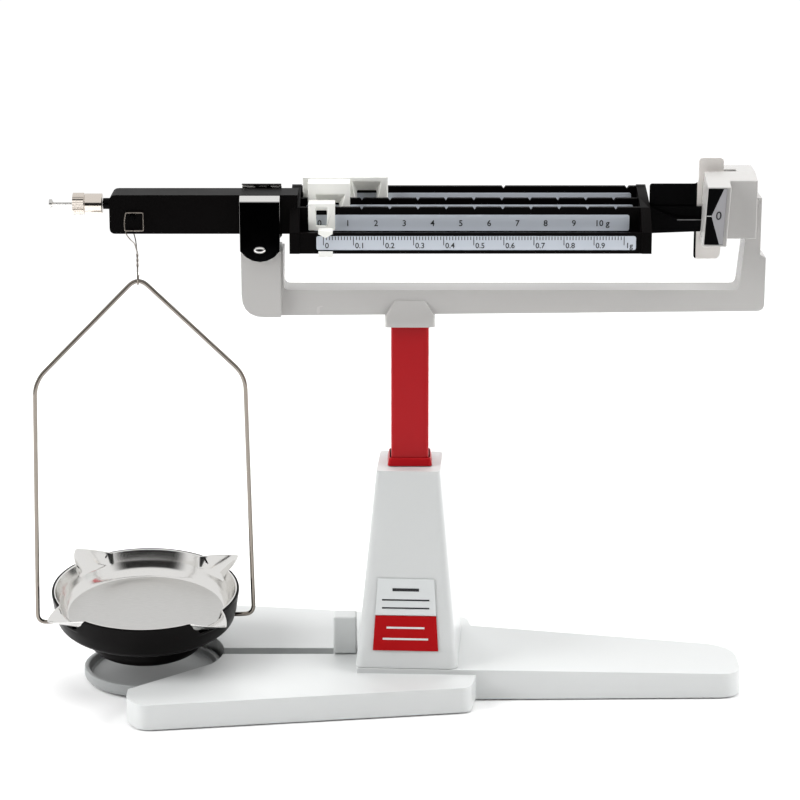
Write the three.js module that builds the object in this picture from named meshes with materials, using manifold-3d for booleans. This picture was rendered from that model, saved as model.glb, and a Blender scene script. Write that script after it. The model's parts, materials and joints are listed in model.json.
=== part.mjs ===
// Four-beam laboratory balance with a hanging pan. Millimetres, +Z up.
// Origin: on the table, on the axis of the column. +X runs along the beam away
// from the pan, -Y is the side that carries the scales.
import * as THREE from 'three';
import { mergeVertices } from 'three/addons/utils/BufferGeometryUtils.js';
import Module from 'manifold-3d';

const wasm = await Module();
wasm.setup();

// ---------- driving dimensions ----------
const GAP = 0.3;                       // clearance between touching pieces
const DEG = Math.PI / 180;

// base casting
const RIM_Z = 0.8;                     // lower edge of the casting
const LEG_TOP = 14.6;
const ARM_TOP = 17.5;
const ARM_TIP_TOP = 13.4;
const BASE_WALL = 3;
const ARM_LEFT = -28;
const ARM_RIGHT = 176;
const SLOPE_START = 30;                // the arm is level up to here
const PAD_RADIUS = 6;
const PAD_TOP = 2.2;

// spill dish under the pan
const DISH_X = -139;
const DISH_RADIUS = 36.8;
const DISH_CLEARANCE = 1.7;
const DISH_RIM = 8;
const DISH_FLOOR = 4;

// column
const HOUSING_BOTTOM = { width: 54, depth: 71, z: ARM_TOP + GAP };
const HOUSING_TOP = { width: 33.5, depth: 39, z: 121.5 };
const HOUSING_WALL = 3;
const HOUSING_YAW = -3;                // degrees
const POST = { width: 19.8, depth: 18, top: 199.5 };
const POST_WALL = 2;
const TIE_RADIUS = 3;
const TIE_ROD = { bottom: 4, top: 206 };
const TIE_NUT = { radius: 7, bottom: 7 };
const HUB_BORE = 10.5;
const HUB_ROOF = 3.5;                  // thickness of the arm over the nut

// yoke
const YOKE_BOTTOM = 203;
const YOKE_DEPTH = 18;
const YOKE_LEFT = -87.3;
const YOKE_RIGHT = 184.2;
const YOKE_SHELF = 216.6;              // top of the long bar
const FORK_BASE = 237.5;
const FORK_TOP = 262;
const FORK_INNER = 10.7;
const FORK_OUTER = 13.4;
const RIGHT_POST_TOP = 265;
const REAR_COVER_LIFT = 2.5;           // the far cover stands a little higher than the near one

// knife edges
const FULCRUM = { x: -77, z: 254.9 };
const PAN_KNIFE = { x: -143, z: 257 };

// beam
const BAR = { left: -155, right: -58, bottom: 246.5, top: 266.8, halfDepth: 10 };
const FRAME_LEFT = -61.8;
const FRAME_RIGHT = 123.7;
const END_PLATE = 5;
const RAIL_THICKNESS = 3;
const RAILS = {
  200: { y: 19, bottom: 248, top: 266, zero: -15.6, pitch: 64.75, notches: 3 },
  100: { y: 5, bottom: 246, top: 262.2, zero: -39.6, pitch: 14.57, notches: 11 },
  10: { y: -9.5, bottom: 244, top: 260.2, zero: -39.6, pitch: 14.57, notches: 11 },
  1: { y: -22, bottom: 238.6, top: 249.4 },
};
const PLATE_THICKNESS = 0.6;
const STRIPS = {                       // scale strips on the fronts of the rails
  200: { left: -54, right: 116, bottom: 251, top: 262.6 },
  100: { left: -54, right: 116, bottom: 249.5, top: 259 },
  10: { left: -50, right: 113, bottom: 248.2, top: 256.5 },
  1: { left: -48, right: 115.6, bottom: 240.7, top: 247.9 },
};

// sliding weights: outside limits in X, Y and Z, and the window over the scale
const POISES = {
  200: { limits: [-56, -11.5, 12.6, 24.6, 252, 272],
    window: { left: -27.5, right: -17.7, bottom: 255, top: 264 } },
  100: { limits: [-52.9, -31.1, -1.6, 10.6, 251, 271.5],
    window: { left: -47.6, right: -37, bottom: 254, top: 260 } },
  10: { limits: [-52.4, -38.6, -13.4, -3.9, 249, 263.2],
    window: { left: -48.2, right: -42.9, bottom: 251.4, top: 258.8 } },
};

// damper on the right post
const DAMPER = { left: 150.6, right: 178, halfDepth: 15.5, bottom: 245, ridge: 278 };
const DAMPER_NOSE = { right: 162.7, front: -24, bottom: 242.6, top: 273.4 };
const DAMPER_SLOT = { right: 168.5, halfWidth: 3.2 };
const POINTER_PASSAGE = { right: 152.6, front: -7.2, top: 262 };
const ZERO_PLATE = { left: 151, right: 160.5, bottom: 243.9, top: 272.9, thickness: 0.9 };
const NOSE_LEAN = 0.056;               // how much the nose leans to +X, per millimetre of height
const NOSE_MIDDLE = 258;               // height at which the lean is nought
const MAGNET = { left: 154.5, right: 164, inner: 2.4, outer: 5.9, bottom: 248, top: 266 };
const DAMPER_SCREW = { x: 175, z: 255, head: 3.2, shank: 1.5 };
const VANE_HALF = 0.5;

// hanging assembly
const HANGER_X = -142;
const HANGER_YAW = 7 * DEG;
const PAN_TILT = 7.5 * DEG;
const BAIL_WIRE = 1.1;
const BAIL = { foot: 58, inner: 45.5, footZ: 33.5, shoulder: 55.2, shoulderZ: 166.8, apexZ: 221.8 };
const PAN_Z = 36;                      // the pan and its support are drawn from this height
const PAN_RIM = 15.3;
const SPOUT_START = 9.4;               // height at which the wall begins to flare into a spout
const SPOUT_REACH = 0.31;              // how far a spout stands out, as a share of the radius
const SPOUT_ANGLES = [-145, -55, 35, 125];
const SPOUT_HALF_ANGLE = 15;
const LOOP_Y = 11.3;
const STIRRUP_WIRE = 0.4;

// tare weight on the left end of the beam
const TARE_Z = 260.5;
const TARE_ROD = 0.65;

// ---------- materials ----------
function finish(color, roughness, metalness = 0) {
  return new THREE.MeshStandardMaterial({ color, roughness, metalness });
}
const whitePaint = finish(0xeff3f2, 0.35);
const greyPaint = finish(0xc3bfbb, 0.4);
const redPaint = finish(0xa41a1d, 0.4);
const blackPaint = finish(0x0a0a0b, 0.3);
const blackPlastic = finish(0x0c0b0b, 0.45);
const whitePlastic = finish(0xf2f3ef, 0.3);
const scaleFace = finish(0xa9b0b8, 0.4);
const labelGrey = finish(0xe0e3e3, 0.4);
const labelRed = finish(0xb71014, 0.4);
const steel = finish(0xcfccc8, 0.25, 1);
const chrome = finish(0xdddddd, 0.05, 1);
const nickel = finish(0xd8cdbd, 0.15, 1);
const rubber = finish(0x222222, 0.9);
const darkSteel = finish(0x3a3a3c, 0.3, 1);

// ---------- solids ----------
function solid(geometry) {
  const bare = geometry.clone();
  bare.deleteAttribute('normal');
  bare.deleteAttribute('uv');
  const merged = mergeVertices(bare, 1e-4);
  return new wasm.Manifold(new wasm.Mesh({
    numProp: 3,
    vertProperties: new Float32Array(merged.attributes.position.array),
    triVerts: new Uint32Array(merged.index.array),
  }));
}

function geometryOf(manifold) {
  const mesh = manifold.getMesh();
  const geometry = new THREE.BufferGeometry();
  geometry.setAttribute('position', new THREE.BufferAttribute(mesh.vertProperties, 3));
  geometry.setIndex(new THREE.BufferAttribute(mesh.triVerts, 1));
  geometry.computeVertexNormals();
  return geometry;
}

function join(first, ...others) {
  return others.reduce((whole, piece) => whole.add(piece), first);
}

function cut(first, ...others) {
  return others.reduce((whole, piece) => whole.subtract(piece), first);
}

// Closed outline through corner points; radii round the corners that have one.
function outline(points, radii = 0) {
  const shape = new THREE.Shape();
  const count = points.length;
  points.forEach(([x, y], i) => {
    const radius = Array.isArray(radii) ? radii[i] : radii;
    if (!radius) {
      i === 0 ? shape.moveTo(x, y) : shape.lineTo(x, y);
      return;
    }
    const corner = new THREE.Vector2(x, y);
    const before = new THREE.Vector2(...points[(i + count - 1) % count]).sub(corner);
    const after = new THREE.Vector2(...points[(i + 1) % count]).sub(corner);
    const start = corner.clone().addScaledVector(before.normalize(), radius);
    const end = corner.clone().addScaledVector(after.normalize(), radius);
    i === 0 ? shape.moveTo(start.x, start.y) : shape.lineTo(start.x, start.y);
    shape.quadraticCurveTo(x, y, end.x, end.y);
  });
  shape.closePath();
  return shape;
}

function rectangle(width, depth, radius) {
  const [w, d] = [width / 2, depth / 2];
  return outline([[-w, -d], [w, -d], [w, d], [-w, d]], radius);
}

// Moves every edge of a counter-clockwise outline inwards by the same distance.
function inset(points, distance) {
  const count = points.length;
  return points.map((point, i) => {
    const before = points[(i + count - 1) % count];
    const after = points[(i + 1) % count];
    const inDirection = new THREE.Vector2(point[0] - before[0], point[1] - before[1]).normalize();
    const outDirection = new THREE.Vector2(after[0] - point[0], after[1] - point[1]).normalize();
    const inNormal = new THREE.Vector2(-inDirection.y, inDirection.x);
    const outNormal = new THREE.Vector2(-outDirection.y, outDirection.x);
    const middle = inNormal.clone().add(outNormal);
    middle.multiplyScalar(distance / (1 + inNormal.dot(outNormal)));
    return [point[0] + middle.x, point[1] + middle.y];
  });
}

function extruded(shape, depth) {
  return new THREE.ExtrudeGeometry(shape, { depth, bevelEnabled: false, curveSegments: 5 });
}

// Outline in X and Y, standing from z0 to z1.
function slab(shape, z0, z1) {
  return extruded(shape, z1 - z0).translate(0, 0, z0);
}

// Outline in X and Z, running from y0 to y1.
function sheetXZ(shape, y0, y1) {
  return extruded(shape, y1 - y0).rotateX(Math.PI / 2).translate(0, y1, 0);
}

// Outline in Y and Z, running from x0 to x1.
function profileYZ(shape, x0, x1) {
  const turn = new THREE.Matrix4().makeBasis(
    new THREE.Vector3(0, 1, 0), new THREE.Vector3(0, 0, 1), new THREE.Vector3(1, 0, 0));
  return extruded(shape, x1 - x0).applyMatrix4(turn).translate(x0, 0, 0);
}

function block(x0, x1, y0, y1, z0, z1) {
  return new THREE.BoxGeometry(x1 - x0, y1 - y0, z1 - z0)
    .translate((x0 + x1) / 2, (y0 + y1) / 2, (z0 + z1) / 2);
}

function upright(radius, z0, z1, sides = 24) {
  return new THREE.CylinderGeometry(radius, radius, z1 - z0, sides)
    .rotateX(Math.PI / 2).translate(0, 0, (z0 + z1) / 2);
}

// Round bar along X.
function barX(radius, x0, x1, sides = 24) {
  return new THREE.CylinderGeometry(radius, radius, x1 - x0, sides)
    .rotateZ(Math.PI / 2).translate((x0 + x1) / 2, 0, 0);
}

// Round bar along Y.
function barY(radius, y0, y1, sides = 16) {
  return new THREE.CylinderGeometry(radius, radius, y1 - y0, sides)
    .translate(0, (y0 + y1) / 2, 0);
}

// Body of revolution about Z, from a counter-clockwise profile of radius and height.
function turned(profile, segments = 48) {
  const points = profile.map(([radius, height]) => new THREE.Vector2(radius, height));
  return new THREE.LatheGeometry(points, segments).rotateX(Math.PI / 2);
}

// Narrows an upright solid evenly from z0 to z1.
function taper(geometry, z0, z1, topScaleX, topScaleY) {
  const position = geometry.attributes.position;
  for (let i = 0; i < position.count; i += 1) {
    const share = (position.getZ(i) - z0) / (z1 - z0);
    position.setX(i, position.getX(i) * (1 + (topScaleX - 1) * share));
    position.setY(i, position.getY(i) * (1 + (topScaleY - 1) * share));
  }
  return geometry;
}

function mirroredY(manifold) {
  return manifold.mirror([0, 1, 0]);
}

// ---------- assembly groups ----------
const balance = new THREE.Group();
const hanger = new THREE.Group();      // bail, pan and support, turned a little about Z
const tilted = new THREE.Group();      // pan and support, tipped towards -Y
hanger.position.x = HANGER_X;
hanger.rotation.z = HANGER_YAW;
tilted.position.z = PAN_Z;
tilted.rotation.x = PAN_TILT;
hanger.add(tilted);
balance.add(hanger);

function add(name, shape, material, parent = balance) {
  const geometry = shape.isBufferGeometry ? shape : geometryOf(shape);
  const mesh = new THREE.Mesh(geometry, material);
  mesh.name = name;
  parent.add(mesh);
  return mesh;
}

// ---------- base ----------
// Front leg, from its far left corner round to the hub, with the dish's edge cut in.
function legPoints() {
  const dishEdge = DISH_RADIUS + DISH_CLEARANCE;
  const points = [[-147, -70.5], [-138.5, -81.6], [32, -55.5], [35.6, -32], [35.6, 1],
    [-41, 1], [-41, -4.5]];
  for (const angle of [-7, -15, -23, -31]) {
    points.push([DISH_X + dishEdge * Math.cos(angle * DEG), dishEdge * Math.sin(angle * DEG)]);
  }
  points.push([-147, -57.5]);
  return points;
}

function armPoints() {
  return [[ARM_LEFT, -34.5], [SLOPE_START, -37], [165, -34.5], [169.5, -33.6], [173, -31.2],
    [175.2, -27.5], [ARM_RIGHT, -23], [ARM_RIGHT, -6], [175, 0.5], [172, 6], [167.5, 10], [162, 12.5],
    [SLOPE_START, 34], [ARM_LEFT, 36]];
}

// Arm whose top is level at the hub and slopes down to its tip.
function arm(points, bottom, drop) {
  const side = outline([[-60, bottom], [200, bottom], [200, ARM_TIP_TOP - drop],
    [SLOPE_START, ARM_TOP - drop], [-60, ARM_TOP - drop]]);
  return solid(slab(outline(points), bottom, ARM_TOP + 1)).intersect(solid(sheetXZ(side, -60, 60)));
}

const PAD_PLACES = {
  pad_front_left: [-133, -69],
  pad_rear_left: [-133, 69],
  pad_front: [20, -46],
  pad_rear: [20, 46],
  pad_right: [160, -11],
};

function baseCasting() {
  const leg = solid(slab(outline(legPoints(), [6, 6, 5, 5]), RIM_Z, LEG_TOP));
  const legHollow = solid(slab(outline(inset(legPoints(), BASE_WALL)), -1, LEG_TOP - BASE_WALL));
  const armHollow = arm(inset(armPoints(), BASE_WALL), -1, HUB_ROOF);
  const shell = cut(
    join(leg, mirroredY(leg), arm(armPoints(), RIM_Z, 0)),
    legHollow, mirroredY(legHollow), armHollow);
  const bosses = Object.values(PAD_PLACES).map(([x, y]) =>
    solid(upright(PAD_RADIUS + 1, PAD_TOP + GAP, LEG_TOP - 1).translate(x, y, 0)));
  const hub = solid(upright(15, 1.8, ARM_TOP - 1, 32));
  const hubBore = solid(upright(HUB_BORE, 0, ARM_TOP - HUB_ROOF));
  const rodHole = solid(upright(TIE_RADIUS + GAP, 0, ARM_TOP + 1));
  return cut(join(shell, ...bosses, hub), hubBore, rodHole);
}

function spillDish() {
  const profile = [[0, 1.2], [DISH_RADIUS - 1.5, 1.2], [DISH_RADIUS, 3], [DISH_RADIUS, DISH_RIM],
    [DISH_RADIUS - 2.6, DISH_RIM], [DISH_RADIUS - 3.4, DISH_FLOOR], [0, DISH_FLOOR]];
  const tray = solid(turned(profile).translate(DISH_X, 0, 0));
  const tongue = solid(block(DISH_X + DISH_RADIUS - 1, -86, -3.9, 3.9, 1.2, 5));
  const foot = solid(upright(9, 0, 1.6).translate(DISH_X, 0, 0));
  return join(tray, tongue, foot);
}

function addBase() {
  add('base_casting', baseCasting(), whitePaint);
  add('spill_dish', spillDish(), whitePaint);
  add('hub_block', block(-41, -28.6, -6, 6, LEG_TOP + GAP, 36), whitePaint);
  add('pad_centre', upright(14, 0, 1.5), rubber);
  for (const [name, [x, y]] of Object.entries(PAD_PLACES)) {
    add(name, upright(PAD_RADIUS, 0, PAD_TOP).translate(x, y, 0), rubber);
  }
}

// ---------- column ----------
function frustum(bottomWidth, bottomDepth, topWidth, topDepth, radius, z0, z1) {
  const shape = rectangle(bottomWidth, bottomDepth, radius);
  return solid(taper(slab(shape, z0, z1), z0, z1, topWidth / bottomWidth, topDepth / bottomDepth));
}

// Plan of the post with clearance all round.
function postClearance() {
  return rectangle(POST.width + 2 * GAP, POST.depth + 2 * GAP, 2);
}

function columnHousing() {
  const [low, high] = [HOUSING_BOTTOM, HOUSING_TOP];
  const wall = 2 * HOUSING_WALL;
  const roofZ = high.z - HOUSING_WALL;
  const outside = frustum(low.width, low.depth, high.width, high.depth, 5, low.z, high.z);
  const inside = frustum(low.width - wall, low.depth - wall, high.width - wall, high.depth - wall,
    4, low.z - 1, roofZ);
  const postHole = solid(slab(postClearance(), roofZ - 1, high.z + 1));
  return cut(cut(outside, inside).rotate([0, 0, HOUSING_YAW]), postHole);
}

// A thin plate on the sloping front of the housing, given by its distance up the slope.
function addLabel(name, corners, material) {
  const slope = Math.atan((HOUSING_BOTTOM.depth - HOUSING_TOP.depth) / 2
    / (HOUSING_TOP.z - HOUSING_BOTTOM.z));
  const plate = extruded(outline(corners), 0.4)
    .rotateX(Math.PI / 2 - slope)
    .translate(0, -HOUSING_BOTTOM.depth / 2 - GAP, HOUSING_BOTTOM.z)
    .rotateZ(HOUSING_YAW * DEG);
  add(name, plate, material);
}

function postTube() {
  const { width, depth, top } = POST;
  const bottom = ARM_TOP + GAP;
  const outside = solid(slab(rectangle(width, depth, 2), bottom, top));
  const bore = rectangle(width - 2 * POST_WALL, depth - 2 * POST_WALL, 1);
  const inside = solid(slab(bore, bottom - 1, top + 1));
  return cut(outside, inside);
}

function postCollar() {
  const bottom = HOUSING_TOP.z + GAP;
  const outside = frustum(23.6, 22, 22, 20.4, 2, bottom, 126);
  const hole = solid(slab(postClearance(), bottom - 1, 127));
  return cut(outside, hole);
}

function hexNut(radius, bore, z0, z1) {
  return cut(solid(upright(radius, z0, z1, 6)), solid(upright(bore, z0 - 1, z1 + 1)));
}

function addColumn() {
  add('column_housing', columnHousing(), whitePaint);
  addLabel('label_lower', [[-17.8, 9.5], [16.8, 9.5], [15.6, 28.2], [-16.6, 28.2]], labelRed);
  addLabel('label_upper', [[-16.6, 28.5], [15.6, 28.5], [14.3, 48], [-15.3, 48]], labelGrey);
  add('post', postTube(), redPaint);
  add('post_collar', postCollar(), redPaint);
  add('tie_rod', upright(TIE_RADIUS, TIE_ROD.bottom, TIE_ROD.top), steel);
  const nutTop = ARM_TOP - HUB_ROOF - GAP;
  add('tie_nut', hexNut(TIE_NUT.radius, TIE_RADIUS + GAP, TIE_NUT.bottom, nutTop), steel);
}

// ---------- yoke ----------
function yokeFrame() {
  const points = [[YOKE_LEFT, YOKE_BOTTOM], [-58, YOKE_BOTTOM], [YOKE_RIGHT, 205.4],
    [YOKE_RIGHT, 233.7], [181.2, 235.3], [181.2, RIGHT_POST_TOP], [173.3, RIGHT_POST_TOP],
    [173.3, 243.6], [170.6, YOKE_SHELF], [-65.5, YOKE_SHELF], [-65.5, FORK_BASE], [YOKE_LEFT, FORK_BASE]];
  const radii = [12, 0, 4, 0, 0, 0, 0, 0, 3, 3, 0, 0];
  return solid(sheetXZ(outline(points, radii), -YOKE_DEPTH / 2, YOKE_DEPTH / 2));
}

// One fork arm, with a notch open at the top for its bearing.
function forkArm() {
  const points = [[-85.5, FORK_BASE - 1], [-68.5, FORK_BASE - 1], [-68.5, FORK_TOP], [-72.7, FORK_TOP],
    [-72.7, 248.7], [-81.3, 248.7], [-81.3, FORK_TOP], [-85.5, FORK_TOP]];
  return solid(sheetXZ(outline(points), -FORK_OUTER, -FORK_INNER));
}

function yokeCasting() {
  const postOutline = outline([[YOKE_LEFT, YOKE_BOTTOM], [-67, YOKE_BOTTOM], [-67, FORK_BASE],
    [YOKE_LEFT, FORK_BASE]], [12, 0, 0, 0]);
  const leftPost = solid(sheetXZ(postOutline, -FORK_OUTER, FORK_OUTER));
  const socketBand = solid(slab(rectangle(26, 26, 2), 197.5, YOKE_BOTTOM));
  const socketNeck = frustum(26, 26, 16, 19, 2, YOKE_BOTTOM, 211);
  const postSocket = solid(slab(postClearance(), 197, POST.top + GAP));
  const rodHole = solid(upright(TIE_RADIUS + GAP, 197, 207));
  const arms = forkArm();
  const casting = join(yokeFrame(), leftPost, socketBand, socketNeck, arms, mirroredY(arms));
  return cut(casting, postSocket, rodHole);
}

function bearing() {
  const points = [[-81, 249], [-73, 249], [-73, 257.5], [-75.2, 257.5],
    [FULCRUM.x, FULCRUM.z - 0.4], [-78.8, 257.5], [-81, 257.5]];
  return solid(sheetXZ(outline(points), -FORK_OUTER + 0.1, -FORK_INNER - GAP));
}

// Bent plate over a fork arm: flat front, rolled top, rounded foot with a raised bump.
function cover() {
  const front = [[-87.7, 238.2], [-84.8, 235], [-81.2, 233.1], [-77.4, 232.4], [-73.6, 233.1],
    [-69.9, 235], [-67, 238.2], [-67, 268], [-87.7, 268]];
  const section = [[-14.5, 230], [-13.7, 230], [-13.7, 262.7], [-13.2, 264.4], [-12, 265.5],
    [-10.4, 265.8], [-10.4, 266.6], [-12.4, 266.2], [-13.9, 264.9], [-14.5, 263]];
  const plate = solid(profileYZ(outline(section), -90, -60))
    .intersect(solid(sheetXZ(outline(front), -20, 0)));
  const bump = solid(new THREE.SphereGeometry(1, 16, 10).scale(3, 1, 1.7).translate(-77.5, -14.4, 238.8));
  return join(plate, bump);
}

function addYoke() {
  add('yoke_casting', yokeCasting(), greyPaint);
  add('bearing_front', bearing(), darkSteel);
  add('bearing_rear', mirroredY(bearing()), darkSteel);
  add('cover_front', cover(), chrome);
  add('cover_rear', mirroredY(cover()).translate([0, 0, REAR_COVER_LIFT]), chrome);
}

// ---------- damper ----------
// Leans everything up to the nose's right side towards +X with height.
function leaned(geometry) {
  const position = geometry.attributes.position;
  for (let i = 0; i < position.count; i += 1) {
    if (position.getX(i) < DAMPER_NOSE.right + 1) {
      position.setX(i, position.getX(i) + NOSE_LEAN * (position.getZ(i) - NOSE_MIDDLE));
    }
  }
  return geometry;
}

function damperBlock() {
  const { left, right, halfDepth, bottom, ridge } = DAMPER;
  const nose = DAMPER_NOSE;
  const body = solid(leaned(block(left, right, -halfDepth, halfDepth, bottom, ridge)));
  const front = solid(leaned(block(left, nose.right, nose.front, 1 - halfDepth, nose.bottom, ridge)));
  const side = outline([[nose.front, nose.bottom], [halfDepth, nose.bottom], [halfDepth, ridge],
    [-DAMPER_SLOT.halfWidth, ridge], [nose.front, nose.top]]);
  const shell = join(body, front).intersect(solid(profileYZ(side, left - 5, right)));
  const vaneSlot = solid(block(left - 3, DAMPER_SLOT.right, -DAMPER_SLOT.halfWidth, DAMPER_SLOT.halfWidth,
    nose.bottom - 1, ridge + 1));
  const passage = solid(block(left - 3, POINTER_PASSAGE.right, POINTER_PASSAGE.front, 0,
    nose.bottom - 1, POINTER_PASSAGE.top));
  const postPocket = solid(block(170.3, right + 1, -YOKE_DEPTH / 2 - GAP, YOKE_DEPTH / 2 + GAP,
    bottom - 1, RIGHT_POST_TOP + GAP));
  const magnetPockets = solid(block(MAGNET.left - GAP, MAGNET.right + GAP, -MAGNET.outer - GAP,
    MAGNET.outer + GAP, MAGNET.bottom - GAP, MAGNET.top + GAP));
  const screwHole = solid(barY(DAMPER_SCREW.shank + GAP, 5, halfDepth + 1)
    .translate(DAMPER_SCREW.x, 0, DAMPER_SCREW.z));
  return cut(shell, vaneSlot, passage, postPocket, magnetPockets, screwHole);
}

function magnet() {
  const { left, right, inner, outer, bottom, top } = MAGNET;
  return block(left, right, -outer, -inner, bottom, top);
}

function zeroPlate() {
  const { left, right, bottom, top, thickness } = ZERO_PLATE;
  const back = DAMPER_NOSE.front - GAP;
  return leaned(block(left, right, back - thickness, back, bottom, top));
}

function damperScrew() {
  const { x, z, head, shank } = DAMPER_SCREW;
  const rear = DAMPER.halfDepth;
  const headDisc = solid(barY(head, rear + GAP, rear + 2.3).translate(x, 0, z));
  const pin = solid(barY(shank, YOKE_DEPTH / 2 + GAP, rear + 1).translate(x, 0, z));
  const slot = solid(block(x - 4, x + 4, rear + 1.5, rear + 3, z - 0.4, z + 0.4));
  return cut(join(headDisc, pin), slot);
}

function addDamper() {
  add('damper_block', damperBlock(), greyPaint);
  add('zero_plate', zeroPlate(), blackPaint);
  add('magnet_front', magnet(), darkSteel);
  add('magnet_rear', magnet().translate(0, MAGNET.inner + MAGNET.outer, 0), darkSteel);
  add('damper_screw', damperScrew(), steel);
}

// ---------- beam ----------
function railSolid({ y, bottom, top, zero, pitch, notches = 0 }) {
  const rail = solid(block(FRAME_LEFT + 1, FRAME_RIGHT - 1, y, y + RAIL_THICKNESS, bottom, top));
  const cuts = [];
  for (let i = 0; i < notches; i += 1) {
    const x = zero + i * pitch;
    const notch = outline([[x - 1.1, top + 0.1], [x, top - 1.4], [x + 1.1, top + 0.1]]);
    cuts.push(solid(sheetXZ(notch, y - 1, y + RAIL_THICKNESS + 1)));
  }
  return cut(rail, ...cuts);
}

function beamCasting() {
  const { left, right, bottom, top, halfDepth } = BAR;
  const barCorners = [[left, bottom], [right, bottom], [right, top], [left, top]];
  const barOutline = outline(barCorners, [3, 0, 0, 3.5]);
  const bar = solid(sheetXZ(barOutline, -halfDepth, halfDepth));
  const steps = outline([[-22.6, 238.6], [-16, 238.6], [-10, 243], [22.6, 246], [22.6, 266.4],
    [4, 263.4], [-9.8, 260], [-22.6, 249.6]]);
  const leftPlate = solid(profileYZ(steps, FRAME_LEFT, FRAME_LEFT + END_PLATE));
  const rightPlate = solid(profileYZ(steps, FRAME_RIGHT - END_PLATE, FRAME_RIGHT));
  const fulcrumHole = solid(block(-79.3, -74.7, -12, 12, 254.5, 260.3));
  const panHole = solid(block(-144.4, -141.6, -12, 12, 254, 257.3));
  const neckHole = solid(barX(TARE_ROD + GAP, left - 1, left + 6, 12).translate(0, 0, TARE_Z));
  return cut(join(bar, leftPlate, rightPlate, ...Object.values(RAILS).map(railSolid)),
    fulcrumHole, panHole, neckHole);
}

// Scale strip on the front of a rail, with rounded ends.
function scaleStrip(value) {
  const { left, right, bottom, top } = STRIPS[value];
  const { y } = RAILS[value];
  const shape = outline([[left, bottom], [right, bottom], [right, top], [left, top]], 1.2);
  return sheetXZ(shape, y - GAP - PLATE_THICKNESS, y - GAP);
}

function fulcrumKnife() {
  const points = [[FULCRUM.x, FULCRUM.z], [-75, 258.4], [-75, 260], [-79, 260], [-79, 258.4]];
  return sheetXZ(outline(points), -13.2, 13.2);
}

function panKnife() {
  const { x, z } = PAN_KNIFE;
  const points = [[x - 1.1, z - 2.7], [x + 1.1, z - 2.7], [x + 1.1, z - 1.4], [x, z], [x - 1.1, z - 1.4]];
  return sheetXZ(outline(points), -LOOP_Y - 1, LOOP_Y + 1);
}

// Damping vane: a plate in the plane of the beam, with a tall paddle at its end.
function vane() {
  const left = FRAME_RIGHT + GAP;
  const points = [[left, 260], [147.5, 260], [147.5, 231.4], [161, 231.4], [162, 245],
    [162, 284.5], [149.2, 284.5], [149.2, 271], [left, 271]];
  return sheetXZ(outline(points, [0, 0, 2, 3, 0, 2.2, 2.2, 2.5, 1.5]), -VANE_HALF, VANE_HALF);
}

function pointer() {
  const left = FRAME_RIGHT + GAP;
  const ridge = [[left, 246], [150, 247], [151, 250], [151, 253.4], [141, 253.4], [136, 254.3],
    [130, 256.6], [left, 259.9]];
  const web = [[left, 246], [150, 247], [151, 250], [151, 259.4], [left, 259.4]];
  return join(solid(sheetXZ(outline(ridge), -6, -2)), solid(sheetXZ(outline(web), -2.5, -0.9)));
}

function tareRod() {
  const rod = solid(barX(TARE_ROD, -186, BAR.left + 5, 16));
  const head = solid(barX(2.25, -187, -185.2, 20));
  return join(rod, head).translate([0, 0, TARE_Z]);
}

function bushing(radius, x0, x1) {
  return cut(solid(barX(radius, x0, x1)), solid(barX(TARE_ROD + GAP, x0 - 1, x1 + 1, 16)))
    .translate([0, 0, TARE_Z]);
}

function knurledCollar() {
  const [x0, x1, ridges, outer, depth] = [-174.6, -168.7, 30, 5.65, 0.35];
  const points = [];
  for (let i = 0; i < 2 * ridges; i += 1) {
    const radius = i % 2 ? outer - depth : outer;
    const angle = Math.PI * i / ridges;
    points.push([radius * Math.cos(angle), radius * Math.sin(angle)]);
  }
  const body = solid(profileYZ(outline(points), x0, x1));
  return cut(body, solid(barX(TARE_ROD + GAP, x0 - 1, x1 + 1, 16))).translate([0, 0, TARE_Z]);
}

function addBeam() {
  add('beam_casting', beamCasting(), blackPaint);
  for (const value of [200, 100, 10, 1]) {
    add(`scale_${value}g`, scaleStrip(value), scaleFace);
  }
  add('fulcrum_knife', fulcrumKnife(), steel);
  add('pan_knife', panKnife(), darkSteel);
  add('damping_vane', vane(), chrome);
  add('pointer', pointer(), blackPaint);
  add('tare_rod', tareRod(), steel);
  add('tare_neck', bushing(2.9, -159, BAR.left - GAP), blackPaint);
  add('tare_barrel', bushing(5.25, -168.4, -159.3), nickel);
  add('tare_collar', knurledCollar(), nickel);
}

// ---------- sliding weights ----------
// Saddle over one rail: a block with a slot from below and a funnel-shaped window in front.
function saddle(value) {
  const rail = RAILS[value];
  const { limits: [x0, x1, y0, y1, z0, z1], window } = POISES[value];
  const slotFront = rail.y - GAP - PLATE_THICKNESS - GAP;
  const slotRear = rail.y + RAIL_THICKNESS + GAP;
  const body = solid(block(x0, x1, y0, y1, z0, z1));
  const slot = solid(block(x0 - 1, x1 + 1, slotFront, slotRear, z0 - 1, rail.top + GAP));
  const { left, right, bottom, top } = window;
  const opening = solid(block(left, right, y0 - 1, slotFront + 0.5, bottom, top));
  return cut(body, slot, opening);
}

function addWeights() {
  for (const value of [200, 100, 10]) {
    add(`poise_${value}g`, saddle(value), whitePlastic);
  }
  add('poise_1g', smallPoise(), whitePlastic);
}

// Light ring round the front rail, with a pentagonal pointer over the fine scale.
function smallPoise() {
  const [left, right, middle] = [-47, -39.6, -43.3];
  const ring = [[-24.6, 249.7], [-18.7, 249.7], [-18.7, 238.3], [-23.3, 238.3], [-23.3, 240.2],
    [-24.2, 240.2], [-24.2, 237.2], [-17.3, 237.2], [-17.3, 251], [-24.6, 251]];
  const pointerPlate = outline([[left, 249.3], [middle, 247.2], [right, 249.3], [right, 251],
    [left, 251]]);
  return join(solid(profileYZ(outline(ring), left, right)), solid(sheetXZ(pointerPlate, -24.6, -23.3)));
}

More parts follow.
